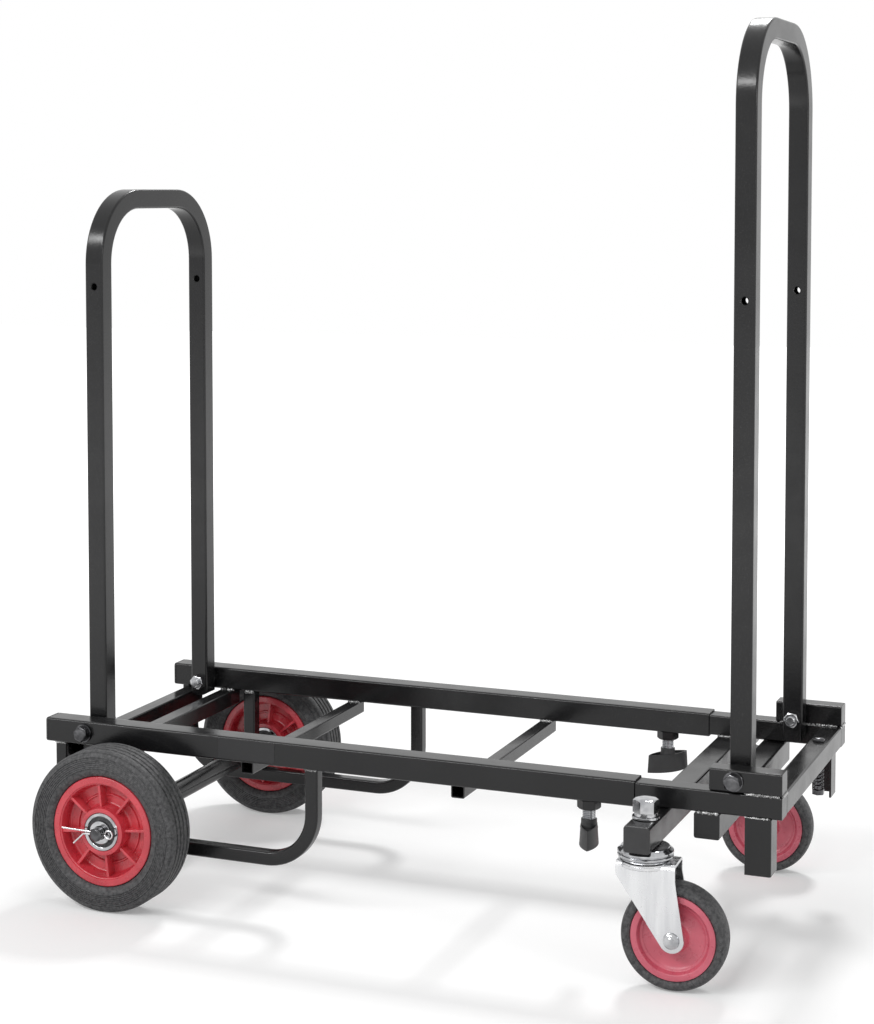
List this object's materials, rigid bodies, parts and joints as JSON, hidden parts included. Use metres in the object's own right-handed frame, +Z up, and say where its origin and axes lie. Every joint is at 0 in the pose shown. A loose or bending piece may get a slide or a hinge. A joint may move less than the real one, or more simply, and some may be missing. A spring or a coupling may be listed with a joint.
{
  "type": "folding platform trolley",
  "caption": "Extending platform trolley of black square tube with fold-down loop handles, rear wheels on an axle and swivel casters.",
  "frame": {"origin": "on the floor under the middle of the frame, with the rails pushed together as in the picture", "axes": "+X from the rear wheels towards the casters, +Y to the left, +Z up"},
  "size_m": [0.7046, 0.3876, 0.8069],
  "materials": {
    "frame": "satin black powder coat",
    "zinc": "bright zinc plate",
    "dark_steel": "black oxide",
    "red": "satin moulded",
    "rubber": "matt rubber",
    "plastic": "matt moulded"
  },
  "bodies": {
    "rear_frame": {"outer_rail_left": "frame", "outer_rail_right": "frame", "rail_plug_left": "plastic", "rail_plug_right": "plastic", "cross_tube_rear": "frame", "cross_tube_second": "frame", "cross_tube_third": "frame", "cross_tube_fourth": "frame", "hoop_left": "frame", "hoop_right": "frame", "axle_post_left": "frame", "axle_post_right": "frame", "axle_tube": "frame", "axle_rod": "zinc", "axle_washer_left": "zinc", "axle_washer_right": "zinc", "cotter_pin_left": "zinc", "cotter_pin_right": "zinc", "knob_nut_left": "frame", "knob_nut_right": "frame", "rear_pivot_bolt_left": "dark_steel", "rear_pivot_bolt_right": "dark_steel"},
    "rear_wheel_left": {"rear_tyre_left": "rubber", "rear_hub_left": "red", "rear_bearing_left": "zinc"},
    "rear_wheel_right": {"rear_tyre_right": "rubber", "rear_hub_right": "red", "rear_bearing_right": "zinc"},
    "rear_handle": {"rear_handle": "frame"},
    "clamp_knob_left": {"clamp_knob_left": "plastic"},
    "clamp_knob_right": {"clamp_knob_right": "plastic"},
    "front_frame": {"inner_rail_left": "frame", "inner_rail_right": "frame", "pivot_block_left": "frame", "pivot_block_right": "frame", "caster_crossbar": "frame", "crossbar_cap_left": "plastic", "crossbar_cap_right": "plastic", "front_cross_tube": "frame", "end_tube": "frame", "stand_leg_left": "frame", "stand_leg_right": "frame", "front_pivot_bolt_left": "dark_steel", "front_pivot_bolt_right": "dark_steel", "caster_bolt_left": "zinc", "caster_bolt_right": "zinc", "caster_race_left": "zinc", "caster_race_right": "zinc", "catch_spring": "dark_steel"},
    "front_handle": {"front_handle": "frame"},
    "catch_pin": {"catch_pin": "dark_steel"},
    "caster_left": {"caster_fork_left": "zinc", "caster_axle_left": "zinc"},
    "caster_right": {"caster_fork_right": "zinc", "caster_axle_right": "zinc"},
    "caster_wheel_left": {"caster_tyre_left": "rubber", "caster_hub_left": "red"},
    "caster_wheel_right": {"caster_tyre_right": "rubber", "caster_hub_right": "red"}
  },
  "joints": [
    {"name": "frame_slide", "type": "slide", "parent": "rear_frame", "child": "front_frame", "axis": [1, 0, 0], "range_m": [-0.0075, 0.3735]},
    {"name": "rear_handle_fold", "type": "hinge", "parent": "rear_frame", "child": "rear_handle", "pos_m": [-0.311, 0, 0.1506], "axis": [0, 1, 0], "range_deg": [0, 90]},
    {"name": "front_handle_fold", "type": "hinge", "parent": "front_frame", "child": "front_handle", "pos_m": [0.3112, 0, 0.16995], "axis": [0, -1, 0], "range_deg": [0, 90]},
    {"name": "rear_wheel_left_spin", "type": "hinge", "parent": "rear_frame", "child": "rear_wheel_left", "pos_m": [-0.2645, 0.166, 0.075], "axis": [0, 1, 0], "continuous": true},
    {"name": "rear_wheel_right_spin", "type": "hinge", "parent": "rear_frame", "child": "rear_wheel_right", "pos_m": [-0.2645, -0.166, 0.075], "axis": [0, 1, 0], "continuous": true},
    {"name": "clamp_knob_left_turn", "type": "hinge", "parent": "rear_frame", "child": "clamp_knob_left", "pos_m": [0.183, 0.124, 0.119], "axis": [0, 0, 1], "continuous": true},
    {"name": "clamp_knob_right_turn", "type": "hinge", "parent": "rear_frame", "child": "clamp_knob_right", "pos_m": [0.183, -0.124, 0.119], "axis": [0, 0, 1], "continuous": true},
    {"name": "caster_left_swivel", "type": "hinge", "parent": "front_frame", "child": "caster_left", "pos_m": [0.2454, 0.165, 0.1072], "axis": [0, 0, 1], "continuous": true},
    {"name": "caster_wheel_left_spin", "type": "hinge", "parent": "caster_left", "child": "caster_wheel_left", "pos_m": [0.27087, 0.16633, 0.045], "axis": [-0.0523, 0.9986, 0], "continuous": true},
    {"name": "caster_right_swivel", "type": "hinge", "parent": "front_frame", "child": "caster_right", "pos_m": [0.2454, -0.165, 0.1072], "axis": [0, 0, 1], "continuous": true},
    {"name": "caster_wheel_right_spin", "type": "hinge", "parent": "caster_right", "child": "caster_wheel_right", "pos_m": [0.27087, -0.16367, 0.045], "axis": [-0.0523, 0.9986, 0], "continuous": true},
    {"name": "catch_pin_lift", "type": "slide", "parent": "front_frame", "child": "catch_pin", "axis": [0, 0, 1], "range_m": [0, 0.006], "stiffness_N_per_m": 400, "springref_m": -0.01, "deforming": ["catch_spring"]}
  ]
}
